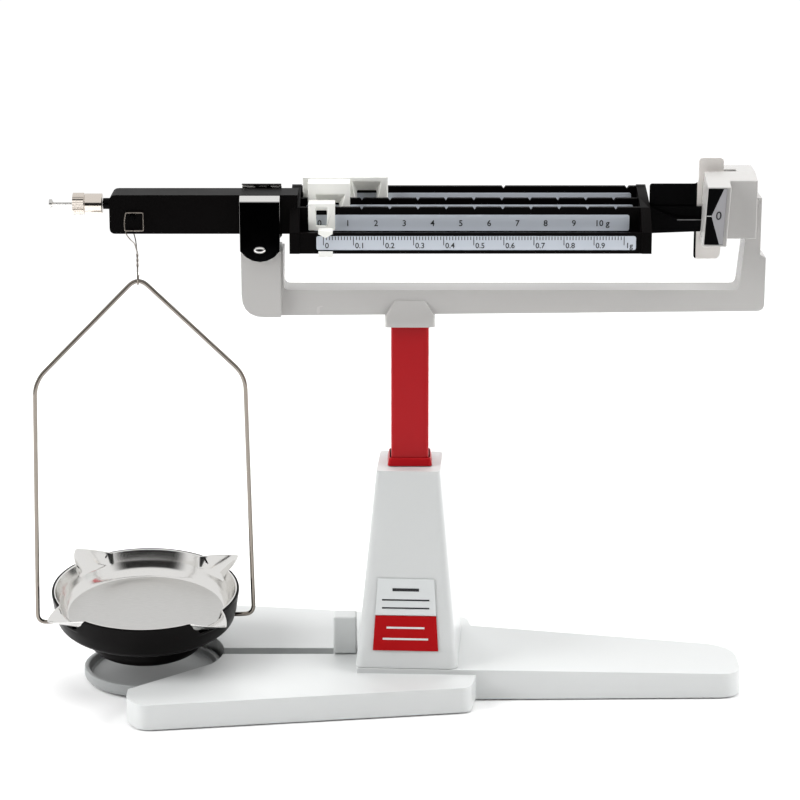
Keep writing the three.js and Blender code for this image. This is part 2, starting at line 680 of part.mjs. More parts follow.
// ---------- hanging assembly ----------
function tube(curve, radius, steps, sides = 8) {
  const section = new THREE.Shape();
  for (let i = 0; i < sides; i += 1) {
    const angle = 2 * Math.PI * i / sides;
    const [x, y] = [radius * Math.cos(angle), radius * Math.sin(angle)];
    i === 0 ? section.moveTo(x, y) : section.lineTo(x, y);
  }
  section.closePath();
  return new THREE.ExtrudeGeometry(section, { steps, bevelEnabled: false, extrudePath: curve });
}

function smoothCurve(points) {
  return new THREE.CatmullRomCurve3(points.map((p) => new THREE.Vector3(...p)), false, 'centripetal');
}

// Wire bent in the XZ plane, with rounded corners.
function bentWire(points, radii) {
  const path = new THREE.CurvePath();
  const corners = points.map(([x, z]) => new THREE.Vector3(x, 0, z));
  let from = corners[0];
  for (let i = 1; i < corners.length - 1; i += 1) {
    const corner = corners[i];
    const toward = (other) => other.clone().sub(corner).normalize().multiplyScalar(radii[i]).add(corner);
    const [start, end] = [toward(corners[i - 1]), toward(corners[i + 1])];
    path.add(new THREE.LineCurve3(from, start));
    path.add(new THREE.QuadraticBezierCurve3(start, corner, end));
    from = end;
  }
  path.add(new THREE.LineCurve3(from, corners[corners.length - 1]));
  return path;
}

function bail() {
  const { foot, inner, footZ, shoulder, shoulderZ, apexZ } = BAIL;
  const points = [[-inner, footZ], [-foot, footZ], [-shoulder, shoulderZ], [0, apexZ],
    [shoulder, shoulderZ], [foot, footZ], [inner, footZ]];
  return tube(bentWire(points, [0, 5, 8, 7, 8, 5, 0]), BAIL_WIRE, 96, 8);
}

// Two square loops over the knife, their strands meeting under the beam in one hook.
function stirrup() {
  const x = HANGER_X;
  const square = (grow) => outline([[x - 4.8 - grow, 248.8 - grow], [x + 4.1 + grow, 248.8 - grow],
    [x + 4.1 + grow, 257.4 + grow], [x - 4.8 - grow, 257.4 + grow]], 0.8);
  const loop = cut(solid(sheetXZ(square(0.7), -LOOP_Y - STIRRUP_WIRE, -LOOP_Y + STIRRUP_WIRE)),
    solid(sheetXZ(square(0), -LOOP_Y - 1, -LOOP_Y + 1)));
  const strand = solid(tube(smoothCurve([[x - 4.9, -LOOP_Y, 248.6], [x - 4, -LOOP_Y, 246],
    [x - 2.4, -8.5, 243], [x - 1, -3.5, 240], [x - 0.3, -0.4, 236], [x, 0, 231]]), STIRRUP_WIRE, 16, 6));
  const hookPath = smoothCurve([[x, 0, 232.5], [x, -0.7, 227], [x, -1.9, 222.5], [x, -1.9, 219.3],
    [x, -1.1, 217.7], [x, 0, 217.3], [x, 1.1, 217.7], [x, 1.9, 219.3], [x, 2.1, 222]]);
  const hook = solid(tube(hookPath, STIRRUP_WIRE, 24, 6));
  return join(loop, mirroredY(loop), strand, mirroredY(strand), hook);
}

// Distance of a spout's edge beyond the rim at one angle, from 0 to 1.
function spoutShare(angle) {
  const offsets = SPOUT_ANGLES.map((spout) => Math.abs(((angle - spout + 540) % 360) - 180));
  return Math.max(0, 1 - Math.min(...offsets) / SPOUT_HALF_ANGLE);
}

function pan() {
  const profile = [[0, 0.6], [41.4, 0.6], [43.6, 1.8], [46.2, 5], [47.5, 9.3], [48.4, 14], [48.9, 14.4],
    [48.9, PAN_RIM], [47.9, PAN_RIM], [46.7, 9.3], [45.4, 5.4], [43, 2.4], [41.2, 1.4], [0, 1.4]];
  const geometry = turned(profile, 72);
  const position = geometry.attributes.position;
  for (let i = 0; i < position.count; i += 1) {
    const [x, y, z] = [position.getX(i), position.getY(i), position.getZ(i)];
    const flare = Math.max(0, (z - SPOUT_START) / (PAN_RIM - SPOUT_START));
    const reach = 1 + SPOUT_REACH * flare * spoutShare(Math.atan2(y, x) / DEG);
    position.setXY(i, x * reach, y * reach);
  }
  return solid(geometry);
}

function panSupport() {
  const profile = [[0, -17.4], [27.5, -17.2], [30.3, -16.2], [31.4, -13.5], [32.2, -3.4], [44.8, -3.2],
    [47.4, -1], [48.9, 5], [50.2, 14.6], [49.9, 15.2], [49.5, 15], [48.4, 9.9], [47, 4.6], [43.9, 0.5],
    [43.3, 0.2], [30, 0.2], [29.4, -13], [28.4, -14.8], [26, -15.6], [0, -15.6]];
  const shell = solid(turned(profile, 40));
  const drop = BAIL.footZ - PAN_Z;
  const pivotHole = solid(barX(BAIL_WIRE + GAP, BAIL.inner - 1, 60, 16))
    .translate([0, drop * Math.sin(PAN_TILT), drop * Math.cos(PAN_TILT)]);
  const wedge = outline([[40, -12], [58, -16], [58, 16], [40, 12]]);
  const notches = SPOUT_ANGLES.map((angle) => solid(slab(wedge, 8.6, 16).rotateZ(angle * DEG)));
  return cut(shell, pivotHole, pivotHole.mirror([1, 0, 0]), ...notches);
}

function addHanger() {
  add('stirrup', stirrup(), steel);
  add('bail', bail(), steel, hanger);
  add('pan_support', panSupport(), blackPlastic, tilted);
  add('ballast', upright(18, -15.2, -10, 32), darkSteel, tilted);
  add('pan', pan(), steel, tilted);
}

addBase();
addColumn();
addYoke();
addDamper();
addBeam();
addWeights();
addHanger();

export default balance;
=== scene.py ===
"""Four-beam laboratory balance: the looks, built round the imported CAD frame. Metres, +Z up."""
import json
import math

import bmesh
import bpy
from mathutils import Matrix, Vector


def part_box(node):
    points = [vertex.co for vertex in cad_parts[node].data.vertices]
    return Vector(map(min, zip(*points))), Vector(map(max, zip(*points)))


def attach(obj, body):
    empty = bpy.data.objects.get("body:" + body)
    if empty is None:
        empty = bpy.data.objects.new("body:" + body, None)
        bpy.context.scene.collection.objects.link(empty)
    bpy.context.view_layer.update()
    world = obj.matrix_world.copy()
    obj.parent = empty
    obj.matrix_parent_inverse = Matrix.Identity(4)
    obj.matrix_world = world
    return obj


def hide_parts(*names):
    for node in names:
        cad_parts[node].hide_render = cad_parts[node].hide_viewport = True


MM = 0.001
INK = 0.03                 # thickness of printed marks, mm
FRONT = Matrix.Rotation(math.radians(90), 4, "X")      # local XY plane stands up and faces -Y
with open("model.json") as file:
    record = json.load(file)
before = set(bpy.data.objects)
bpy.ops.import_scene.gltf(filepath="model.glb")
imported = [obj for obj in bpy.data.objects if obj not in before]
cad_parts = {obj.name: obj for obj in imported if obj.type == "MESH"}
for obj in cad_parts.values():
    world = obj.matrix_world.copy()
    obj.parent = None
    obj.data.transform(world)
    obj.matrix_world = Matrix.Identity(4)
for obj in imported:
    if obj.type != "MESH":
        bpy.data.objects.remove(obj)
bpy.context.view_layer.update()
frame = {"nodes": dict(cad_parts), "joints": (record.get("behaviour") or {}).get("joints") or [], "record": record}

# Hanging assembly: where it hangs, how far it is turned about Z and tipped to the front.
JOINTS = {joint["name"]: joint for joint in frame["joints"]}
BAIL_AXIS = Vector(JOINTS["support_tip"]["axis"])
PIVOT = Vector(JOINTS["support_tip"]["pos_m"])
PAN_NORMAL = Vector(JOINTS["pan_lift"]["axis"])
HANGER = Matrix.Translation(Vector((PIVOT.x, 0, 0))) @ Matrix.Rotation(
    math.atan2(BAIL_AXIS.y, BAIL_AXIS.x), 4, "Z")
PAN_HEIGHT = 36            # height that the pan and its support are drawn from, mm
PAN_FRAME = Matrix.Translation(Vector((PIVOT.x, 0, PAN_HEIGHT * MM))) @ Matrix((
    (BAIL_AXIS.x, PAN_NORMAL.cross(BAIL_AXIS).x, PAN_NORMAL.x, 0),
    (BAIL_AXIS.y, PAN_NORMAL.cross(BAIL_AXIS).y, PAN_NORMAL.y, 0),
    (BAIL_AXIS.z, PAN_NORMAL.cross(BAIL_AXIS).z, PAN_NORMAL.z, 0),
    (0, 0, 0, 1)))


# ---------------------------------------------------------------- camera, floor, light
CAMERA_PLACE = (-5.2, -1423.5, 536.5)      # mm
CAMERA_DOWN = 15                           # degrees below level
CAMERA_LENS = 125.6                        # focal length, mm
TENT_DARK, TENT_BRIGHT = 0.02, 0.85        # strength of the two parts of the mirrored tent


def add_camera():
    data = bpy.data.cameras.new("camera")
    data.lens = CAMERA_LENS
    data.clip_end = 20
    camera = bpy.data.objects.new("camera", data)
    camera.location = [value * MM for value in CAMERA_PLACE]
    camera.rotation_euler = (math.radians(90 - CAMERA_DOWN), 0, 0)
    bpy.context.scene.collection.objects.link(camera)
    bpy.context.scene.camera = camera


def add_floor():
    bm = bmesh.new()
    bmesh.ops.create_circle(bm, cap_ends=True, segments=96, radius=1.05)
    floor = piece_from(bm, "floor", floor_material())


def add_softbox(name, place, target, size, power):
    """Area light that lights the object but is not seen in its reflections."""
    data = bpy.data.lights.new(name, "AREA")
    data.shape = "RECTANGLE"
    data.size, data.size_y = size
    data.energy = power
    light = bpy.data.objects.new(name, data)
    light.location = place
    light.visible_glossy = False
    light.rotation_euler = (Vector(target) - Vector(place)).to_track_quat("-Z", "Y").to_euler()
    bpy.context.scene.collection.objects.link(light)


def add_world():
    """White to the camera, a faint fill, and for reflections a bright tent that is dark low in front."""
    world = bpy.data.worlds.new("studio")
    bpy.context.scene.world = world
    world.use_nodes = True
    nodes, links = world.node_tree.nodes, world.node_tree.links
    nodes.clear()
    path = nodes.new("ShaderNodeLightPath")
    place = nodes.new("ShaderNodeTexCoord")
    split = nodes.new("ShaderNodeSeparateXYZ")
    links.new(place.outputs["Generated"], split.inputs[0])

    def rise(source, start, end):
        node = nodes.new("ShaderNodeMapRange")
        node.interpolation_type = "SMOOTHSTEP"
        limits = {"From Min": start, "From Max": end, "To Min": TENT_DARK, "To Max": TENT_BRIGHT}
        for socket, value in limits.items():
            node.inputs[socket].default_value = value
        links.new(source, node.inputs["Value"])
        return node.outputs["Result"]

    tent = nodes.new("ShaderNodeMath")
    tent.operation = "MAXIMUM"
    links.new(rise(split.outputs["Y"], -0.86, -0.62), tent.inputs[0])
    links.new(rise(split.outputs["Z"], 0.26, 0.42), tent.inputs[1])

    def background(strength):
        node = nodes.new("ShaderNodeBackground")
        node.inputs["Color"].default_value = (1, 1, 1, 1)
        node.inputs["Strength"].default_value = strength
        return node

    seen, fill, mirrored = background(1.05), background(0.05), background(1.0)
    links.new(tent.outputs[0], mirrored.inputs["Strength"])
    gloss, camera = nodes.new("ShaderNodeMixShader"), nodes.new("ShaderNodeMixShader")
    out = nodes.new("ShaderNodeOutputWorld")
    links.new(path.outputs["Is Glossy Ray"], gloss.inputs[0])
    links.new(fill.outputs[0], gloss.inputs[1])
    links.new(mirrored.outputs[0], gloss.inputs[2])
    links.new(path.outputs["Is Camera Ray"], camera.inputs[0])
    links.new(gloss.outputs[0], camera.inputs[1])
    links.new(seen.outputs[0], camera.inputs[2])
    links.new(camera.outputs[0], out.inputs[0])


def add_studio():
    add_world()
    add_softbox("left_box", (-1.3, -0.35, 0.95), (0, 0, 0.12), (1.1, 1.3), 27)
    add_softbox("right_box", (1.3, -0.35, 0.95), (0, 0, 0.12), (1.1, 1.3), 22)
    add_softbox("rear_box", (0.0, 1.2, 1.5), (0, 0, 0.1), (2.2, 0.9), 27)
    add_softbox("top_box", (0.0, 0.1, 1.7), (0, 0, 0.1), (1.4, 1.0), 8)
    bpy.context.scene.view_settings.view_transform = "Standard"


# ---------------------------------------------------------------- materials
class Nodes:
    """Small helper that builds a node tree behind one Principled shader."""

    def __init__(self, name, color, roughness, metallic=0.0):
        self.material = bpy.data.materials.new(name)
        self.material.use_nodes = True
        self.tree = self.material.node_tree
        self.shader = self.tree.nodes["Principled BSDF"]
        self.shader.inputs["Base Color"].default_value = (*color, 1)
        self.shader.inputs["Roughness"].default_value = roughness
        self.shader.inputs["Metallic"].default_value = metallic
        self.color, self.roughness = color, roughness

    def set(self, socket, value):
        self.shader.inputs[socket].default_value = value
        return self

    def link(self, source, target):
        self.tree.links.new(source, target)

    def coordinates(self, stretch=(1, 1, 1)):
        place = self.tree.nodes.new("ShaderNodeTexCoord")
        mapping = self.tree.nodes.new("ShaderNodeMapping")
        mapping.inputs["Scale"].default_value = stretch
        self.link(place.outputs["Object"], mapping.inputs["Vector"])
        return mapping.outputs["Vector"]

    def noise(self, scale, stretch=(1, 1, 1), detail=3.0):
        node = self.tree.nodes.new("ShaderNodeTexNoise")
        node.inputs["Scale"].default_value = scale
        node.inputs["Detail"].default_value = detail
        self.link(self.coordinates(stretch), node.inputs["Vector"])
        return node.outputs["Fac"]

    def ramp(self, source, low, high, start=0.3, end=0.7):
        """Maps a 0 to 1 source onto two colours."""
        node = self.tree.nodes.new("ShaderNodeValToRGB")
        node.color_ramp.elements[0].position = start
        node.color_ramp.elements[1].position = end
        node.color_ramp.elements[0].color = (*low, 1)
        node.color_ramp.elements[1].color = (*high, 1)
        self.link(source, node.inputs["Fac"])
        return node.outputs["Color"]

    def spread(self, source, low, high):
        node = self.tree.nodes.new("ShaderNodeMapRange")
        node.inputs["To Min"].default_value = low
        node.inputs["To Max"].default_value = high
        self.link(source, node.inputs["Value"])
        return node.outputs["Result"]

    def vary_color(self, scale, amount, stretch=(1, 1, 1)):
        low = tuple(c * (1 - amount) for c in self.color)
        high = tuple(min(1.0, c * (1 + amount)) for c in self.color)
        self.link(self.ramp(self.noise(scale, stretch), low, high), self.shader.inputs["Base Color"])
        return self

    def vary_roughness(self, scale, amount, stretch=(1, 1, 1)):
        value = self.spread(self.noise(scale, stretch), self.roughness - amount, self.roughness + amount)
        self.link(value, self.shader.inputs["Roughness"])
        return self

    def bump(self, scale, height, stretch=(1, 1, 1), detail=3.0):
        node = self.tree.nodes.new("ShaderNodeBump")
        node.inputs["Strength"].default_value = 1.0
        node.inputs["Distance"].default_value = height
        self.link(self.noise(scale, stretch, detail), node.inputs["Height"])
        self.link(node.outputs["Normal"], self.shader.inputs["Normal"])
        return self


def floor_material():
    nodes = Nodes("floor_paper", (0.97, 0.97, 0.97), 0.9)
    nodes.set("Specular IOR Level", 0.0)
    return nodes.vary_roughness(40, 0.05).material


def enamel(name, color, roughness=0.32, grain=420, height=0.00002, gloss=0.5):
    """Sprayed enamel on a casting: faint orange peel and a little unevenness of gloss."""
    nodes = Nodes(name, color, roughness)
    nodes.vary_color(14, 0.012).vary_roughness(60, 0.05).bump(grain, height, detail=2.0)
    return nodes.set("Specular IOR Level", gloss).material


def black_enamel(name, color, roughness):
    nodes = Nodes(name, color, roughness)
    nodes.vary_color(20, 0.1).vary_roughness(70, 0.05).bump(700, 0.000012, detail=2.0)
    return nodes.set("Specular IOR Level", 0.05).material


def moulded_black():
    nodes = Nodes("moulded_black", (0.004, 0.0035, 0.0035), 0.3)
    nodes.set("Specular IOR Level", 0.06)
    return nodes.vary_color(30, 0.1).vary_roughness(90, 0.07).bump(1400, 0.00001).material


def polished(name, color, roughness):
    """Polished plate: faint waviness and hairline wiping marks."""
    nodes = Nodes(name, color, roughness, 1.0)
    return nodes.vary_roughness(300, 0.03, (1, 6, 1)).bump(60, 0.000016, detail=1.0).material


def brushed(name, color, roughness, stretch):
    nodes = Nodes(name, color, roughness, 1.0)
    nodes.vary_color(300, 0.05, stretch).vary_roughness(260, 0.06, stretch)
    return nodes.bump(500, 0.000006, stretch).material


def satin(name, color, roughness):
    """Bare aluminium sheet with a soft, fine-grained sheen."""
    nodes = Nodes(name, color, roughness, 0.35)
    nodes.vary_color(25, 0.03).vary_roughness(500, 0.05, (1, 8, 1))
    return nodes.bump(900, 0.000003, (1, 8, 1)).material


def dark_mirror():
    """Polished plate with a painted reflection: by the way each face points, its front and back faces are coloured
    dark and its bends and edges bright.
    """
    nodes = Nodes("dark_mirror", (0.02, 0.02, 0.022), 0.08, 1.0)
    geometry = nodes.tree.nodes.new("ShaderNodeNewGeometry")
    split = nodes.tree.nodes.new("ShaderNodeSeparateXYZ")
    nodes.link(geometry.outputs["Normal"], split.inputs[0])
    facing = nodes.tree.nodes.new("ShaderNodeMath")
    facing.operation = "ABSOLUTE"
    nodes.link(split.outputs["Y"], facing.inputs[0])
    # Painted reflection: the base colour is dark where the face points along ±Y and bright on the bends and edges.
    color = nodes.ramp(facing.outputs[0], (0.86, 0.85, 0.83), (0.016, 0.016, 0.018), 0.9, 0.995)
    nodes.link(color, nodes.shader.inputs["Base Color"])
    return nodes.vary_roughness(240, 0.025).bump(45, 0.00001, detail=1.0).material


def rubber():
    return Nodes("pad_rubber", (0.03, 0.03, 0.03), 0.8).vary_color(80, 0.2).bump(900, 0.00003).material


def make_materials():
    return {
        "white_paint": enamel("white_enamel", (0.60, 0.613, 0.61)),
        "grey_paint": enamel("grey_enamel", (0.49, 0.48, 0.468), 0.25, gloss=0.8),
        "dish_paint": enamel("dish_enamel", (0.31, 0.32, 0.32), 0.35),
        "red_paint": enamel("red_enamel", (0.39, 0.008, 0.012), 0.3, gloss=0.15),
        "black_paint": black_enamel("black_enamel", (0.002, 0.002, 0.0022), 0.25),
        "black_bar": black_enamel("black_bar_enamel", (0.002, 0.0016, 0.0016), 0.45),
        "white_weight": enamel("white_weight_enamel", (0.94, 0.94, 0.90), 0.22, 300, 0.00001),
        "black_plastic": moulded_black(),
        "scale_face": enamel("scale_strip", (0.56, 0.60, 0.66), 0.38, 900, 0.000004),
        "label_grey": enamel("label_grey_film", (0.64, 0.66, 0.66), 0.3, 900, 0.000004),
        "label_red": enamel("label_red_film", (0.37, 0.003, 0.005), 0.35, 900, 0.000004, 0.1),
        "pan_polish": polished("pan_polished_steel", (0.86, 0.85, 0.83), 0.14),
        "pan_floor": brushed("pan_brushed_floor", (0.72, 0.715, 0.70), 0.4, (1, 14, 1)),
        "wire": polished("bail_wire_steel", (0.27, 0.24, 0.21), 0.14),
        "wedge_grey": enamel("zero_wedge_grey", (0.34, 0.335, 0.35), 0.35, 900, 0.000004),
        "steel": brushed("turned_steel", (0.66, 0.65, 0.63), 0.26, (1, 1, 8)),
        "mirror": dark_mirror(),
        "vane": satin("vane_plate", (0.97, 0.93, 0.89), 0.3),
        "nickel": polished("nickel_plate", (0.80, 0.73, 0.66), 0.12),
        "dark_steel": brushed("dark_steel", (0.10, 0.10, 0.105), 0.35, (1, 1, 6)),
        "rubber": rubber(),
        "ink": Nodes("printing_ink", (0.01, 0.01, 0.012), 0.45).vary_roughness(400, 0.05).material,
        "pale_ink": Nodes("pale_ink", (0.25, 0.25, 0.25), 0.45).vary_roughness(400, 0.05).material,
        "white_ink": Nodes("white_ink", (0.8, 0.8, 0.8), 0.45).vary_roughness(400, 0.05).material,
    }


# ---------------------------------------------------------------- mesh helpers
def piece_from(bm, name, material, smooth=False):
    mesh = bpy.data.meshes.new(name)
    bmesh.ops.recalc_face_normals(bm, faces=bm.faces)
    bm.to_mesh(mesh)
    bm.free()
    piece = bpy.data.objects.new(name, mesh)
    bpy.context.scene.collection.objects.link(piece)
    mesh.materials.append(material)
    if smooth:
        mesh.polygons.foreach_set("use_smooth", [True] * len(mesh.polygons))
    return piece


def soften(piece, width, segments=3, angle=32):
    """Rounds the sharp edges and shades the rest smoothly."""
    bevel = piece.modifiers.new("rounded", "BEVEL")
    bevel.width = width
    bevel.segments = segments
    bevel.limit_method = "ANGLE"
    bevel.angle_limit = math.radians(angle)
    bevel.harden_normals = True
    bevel.miter_outer = "MITER_ARC"
    piece.data.polygons.foreach_set("use_smooth", [True] * len(piece.data.polygons))
    weighted = piece.modifiers.new("weighted", "WEIGHTED_NORMAL")
    weighted.keep_sharp = True


def body_of(node):
    bodies = frame["record"]["behaviour"]["bodies"]
    return next(body for body, members in bodies.items() if node in members)


def stand_for(piece, node):
    """The piece rides where the CAD node rides and is shown in its place."""
    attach(piece, body_of(node))
    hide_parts(node)
    return piece


def rounded_copy(node, material, width, segments=3, angle=32):
    """A copy of a CAD solid with clean flat faces and rounded edges."""
    bm = bmesh.new()
    bm.from_mesh(frame["nodes"][node].data)
    bmesh.ops.remove_doubles(bm, verts=bm.verts, dist=0.00001)
    bmesh.ops.dissolve_limit(bm, angle_limit=math.radians(1), verts=bm.verts, edges=bm.edges)
    piece = piece_from(bm, node + "_fine", material)
    soften(piece, width, segments, angle)
    return stand_for(piece, node)


def lathe(profile, segments=128):
    """Body of revolution about Z from (radius, height) in millimetres; ends on the axis are closed."""
    bm = bmesh.new()
    rings = []
    for radius, height in profile:
        if radius == 0:
            rings.append([bm.verts.new((0, 0, height * MM))])
            continue
        ring = []
        for i in range(segments):
            angle = 2 * math.pi * i / segments
            x, y = radius * MM * math.cos(angle), radius * MM * math.sin(angle)
            ring.append(bm.verts.new((x, y, height * MM)))
        rings.append(ring)
    for low, high in zip(rings, rings[1:]):
        for i in range(segments):
            corners = [low[i % len(low)], low[(i + 1) % len(low)],
                       high[(i + 1) % len(high)], high[i % len(high)]]
            bm.faces.new(list(dict.fromkeys(corners)))
    return bm


def rounded_profile(points, radius, steps=4):
    """Rounds the inner corners of an open profile."""
    out = [points[0]]
    for before, corner, after in zip(points, points[1:], points[2:]):
        corner, before, after = Vector(corner), Vector(before), Vector(after)
        reach = min(radius, (before - corner).length * 0.45, (after - corner).length * 0.45)
        start = corner + (before - corner).normalized() * reach
        end = corner + (after - corner).normalized() * reach
        for i in range(steps + 1):
            t = i / steps
            out.append(tuple((1 - t) ** 2 * start + 2 * t * (1 - t) * corner + t * t * end))
    out.append(points[-1])
    return out


def wire_path(points, radii, steps=10):
    """Polyline through 3-D points in millimetres whose corners are rounded."""
    points = [Vector(p) for p in points]
    path = [points[0]]
    for i in range(1, len(points) - 1):
        corner, reach = points[i], radii[i]
        start = corner + (points[i - 1] - corner).normalized() * reach
        end = corner + (points[i + 1] - corner).normalized() * reach
        for k in range(steps + 1):
            t = k / steps
            path.append((1 - t) ** 2 * start + 2 * t * (1 - t) * corner + t * t * end)
    path.append(points[-1])
    return path


def smooth_path(points, steps=8):
    """Catmull-Rom curve through 3-D points in millimetres."""
    points = [Vector(p) for p in points]
    padded = [2 * points[0] - points[1]] + points + [2 * points[-1] - points[-2]]
    path = []
    for a, b, c, d in zip(padded, padded[1:], padded[2:], padded[3:]):
        for i in range(steps):
            t = i / steps
            path.append(0.5 * (2 * b + (c - a) * t + (2 * a - 5 * b + 4 * c - d) * t * t
                               + (3 * b - a - 3 * c + d) * t ** 3))
    path.append(points[-1])
    return path


def sweep(bm, path, radius, sides=16):
    """Round tube along a path of points in millimetres, with rounded-off closed ends."""
    rings = []
    normal = None
    for i, point in enumerate(path):
        ahead = path[min(i + 1, len(path) - 1)] - path[max(i - 1, 0)]
        direction = ahead.normalized()
        if normal is None:
            normal = direction.orthogonal().normalized()
        normal = (normal - direction * normal.dot(direction)).normalized()
        side = direction.cross(normal)
        ring = []
        for k in range(sides):
            angle = 2 * math.pi * k / sides
            offset = normal * math.cos(angle) + side * math.sin(angle)
            ring.append(bm.verts.new((point + offset * radius) * MM))
        rings.append(ring)
    for low, high in zip(rings, rings[1:]):
        for k in range(sides):
            bm.faces.new([low[k], low[(k + 1) % sides], high[(k + 1) % sides], high[k]])
    for ring, direction in ((rings[0], path[0] - path[1]), (rings[-1], path[-1] - path[-2])):
        middle = sum((v.co for v in ring), Vector()) / sides
        tip = bm.verts.new(middle + direction.normalized() * radius * 0.5 * MM)
        for k in range(sides):
            bm.faces.new([ring[k], ring[(k + 1) % sides], tip])


def add_box(bm, low, high):
    """Closed box between two corners in millimetres."""
    size = [(b - a) * MM for a, b in zip(low, high)]
    middle = Vector([(a + b) / 2 * MM for a, b in zip(low, high)])
    bmesh.ops.create_cube(bm, size=1, matrix=Matrix.Translation(middle) @ Matrix.Diagonal((*size, 1)))


def add_prism(bm, corners, depth, place):
    """Closed prism: an outline in millimetres in the local XY plane, extruded along local Z."""
    lower = [bm.verts.new(place @ Vector((x * MM, y * MM, 0))) for x, y in corners]
    upper = [bm.verts.new(place @ Vector((x * MM, y * MM, depth * MM))) for x, y in corners]
    bm.faces.new(lower[::-1])
    bm.faces.new(upper)
    for i in range(len(corners)):
        k = (i + 1) % len(corners)
        bm.faces.new([lower[i], lower[k], upper[k], upper[i]])


CAPITAL_HEIGHT = 0.7       # height of the font's figures as a share of its size


def add_text(bm, text, size, place, align="CENTER"):
    """Raised figures of a given height in millimetres, level with the local origin, facing local Z."""
    curve = bpy.data.curves.new("figures", "FONT")
    curve.body = text
    curve.size = size * MM / CAPITAL_HEIGHT
    curve.align_x = align
    curve.align_y = "CENTER"
    curve.extrude = INK * MM / 2
    curve.offset = size * MM * 0.02
    curve.resolution_u = 3
    holder = bpy.data.objects.new("figures", curve)
    bpy.context.scene.collection.objects.link(holder)
    bpy.context.view_layer.update()
    mesh = bpy.data.meshes.new_from_object(holder.evaluated_get(bpy.context.evaluated_depsgraph_get()))
    mesh.transform(place)
    bm.from_mesh(mesh)
    bpy.data.objects.remove(holder)
    bpy.data.curves.remove(curve)
    bpy.data.meshes.remove(mesh)


def box_mm(node):
    low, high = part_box(node)
    return low / MM, high / MM


def on_front(node, x, z):
    """Matrix of a mark on the front face of a node, at x and z in millimetres."""
    low, _ = box_mm(node)
    return Matrix.Translation(Vector((x, low.y - INK / 2, z)) * MM) @ FRONT


def printed(bm, name, material, body):
    piece = piece_from(bm, name, material)
    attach(piece, body)
    return piece


# ---------------------------------------------------------------- castings and plates
EDGE_WIDTHS = {            # radius of the rounded edges, mm
    "base_casting": 2.0, "hub_block": 1.2, "column_housing": 1.0, "label_upper": 0.1, "label_lower": 0.1,
    "post": 0.6, "post_collar": 0.4, "yoke_casting": 1.2, "damper_block": 0.7, "zero_plate": 0.12,
    "beam_casting": 0.45, "cover_front": 0.14, "cover_rear": 0.14, "damping_vane": 0.12, "pointer": 0.12,
    "scale_200g": 0.1, "scale_100g": 0.1, "scale_10g": 0.1, "scale_1g": 0.1, "tare_collar": 0.12,
    "fulcrum_knife": 0.1, "pan_knife": 0.08, "bearing_front": 0.15, "bearing_rear": 0.15,
    "magnet_front": 0.3, "magnet_rear": 0.3, "damper_screw": 0.2, "tie_nut": 0.3,
}
LOOKS = {"damping_vane": "vane", "cover_front": "mirror", "cover_rear": "mirror", "tare_collar": "nickel",
         "beam_casting": "black_bar", "pan_knife": "black_paint"}
SLOTS = {part["node"]: part["material_slot"] for part in frame["record"]["subparts"]}
SLOT_LOOKS = {"stainless": "steel", "mirror_plate": "mirror"}
VANE_PADDLE = 148.6         # X where the painted arm of the vane ends, mm
VANE_ARM_FOOT = 260         # underside of the vane's arm in the CAD, mm
VANE_ARM_LOWERED = 257.8    # underside of the arm here, mm
COVER_PAINTED_HIGHLIGHT = 2.4             # height of the painted highlight, a bright band along the top of each cover, mm


def look_of(node, materials):
    slot = SLOTS[node]
    return materials[LOOKS.get(node, SLOT_LOOKS.get(slot, slot))]


def make_castings(materials):
    for node, width in EDGE_WIDTHS.items():
        piece = rounded_copy(node, look_of(node, materials), width * MM)
        if node == "damping_vane":
            lower_vane_arm(piece)
            repaint(piece, materials["black_paint"], lambda centre: centre.x < VANE_PADDLE * MM)
        # Painted highlight: the top band of each cover is given the bright polished steel in place of the mirror
        # material.
        if node.startswith("cover"):
            painted_highlight_from = (box_mm(node)[1].z - COVER_PAINTED_HIGHLIGHT) * MM
            repaint(piece, materials["pan_polish"], lambda centre: centre.z > painted_highlight_from)


def repaint(piece, material, chosen):
    """Gives a second material to the faces whose centres are chosen."""
    piece.data.materials.append(material)
    for face in piece.data.polygons:
        if chosen(face.center):
            face.material_index = 1


def lower_vane_arm(vane):
    """The arm of the vane reaches down behind the pointer and ends at the bare paddle."""
    bm = bmesh.new()
    bm.from_mesh(vane.data)
    paddle = VANE_PADDLE * MM
    for v in bm.verts:
        if v.co.x < paddle and abs(v.co.z - VANE_ARM_FOOT * MM) < 0.5 * MM:
            v.co.z = VANE_ARM_LOWERED * MM
    bmesh.ops.bisect_plane(bm, geom=bm.verts[:] + bm.edges[:] + bm.faces[:], dist=0.00001,
                           plane_co=(paddle, 0, 0), plane_no=(1, 0, 0))
    bm.to_mesh(vane.data)
    bm.free()


# ---------------------------------------------------------------- sliding weights
FUNNELS = {"poise_200g": (-30.3, -15.0, 269.6), "poise_100g": (-49.2, -33.4, 265.6),
           "poise_10g": (-48.8, -42.3, 261.4)}      # left, right and top of the wide mouth


def funnel_window(piece, node, left, right, mouth_top):
    """Opens the front edge of the window into a funnel."""
    low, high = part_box(node)
    inner = [v for v in piece.data.vertices
             if abs(v.co.y - low.y) < 0.05 * MM
             and low.x + MM < v.co.x < high.x - MM and low.z + MM < v.co.z < high.z - MM]
    middle = sum(v.co.x for v in inner) / len(inner)
    top = max(v.co.z for v in inner)
    for v in inner:
        if v.co.z > top - MM:
            v.co.z = mouth_top * MM
            v.co.x = (left if v.co.x < middle else right) * MM


def make_weights(materials):
    for node in ("poise_200g", "poise_100g", "poise_10g", "poise_1g"):
        piece = rounded_copy(node, materials["white_weight"], 0.4 * MM)
        if node in FUNNELS:
            funnel_window(piece, node, *FUNNELS[node])


